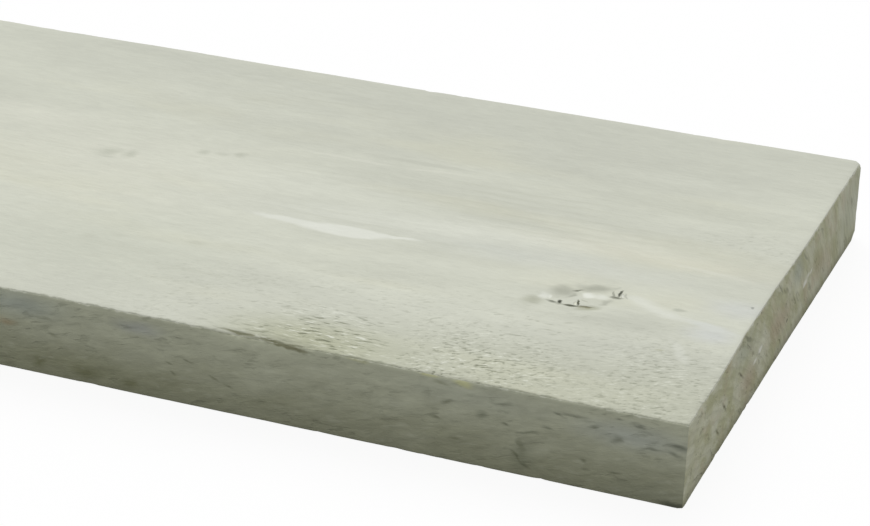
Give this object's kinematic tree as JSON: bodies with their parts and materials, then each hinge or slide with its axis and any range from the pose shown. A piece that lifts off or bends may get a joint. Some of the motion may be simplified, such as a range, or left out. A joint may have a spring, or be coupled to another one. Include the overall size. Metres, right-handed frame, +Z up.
{
  "type": "scaffold board",
  "caption": "Long flat softwood plank with a grey-washed sawn face, lightly eased edges and crosscut ends, laid as decking, shelving or cladding.",
  "frame": {"origin": "middle of the underside", "axes": "+X along the board, +Y across its face, +Z up through its thickness"},
  "size_m": [2.5, 0.195, 0.03],
  "materials": {
    "grey_washed_timber": "matt grey wash over sawn spruce, pale grey-green, with grain and knots showing"
  },
  "bodies": {
    "root": {"board": "grey_washed_timber"}
  },
  "joints": []
}
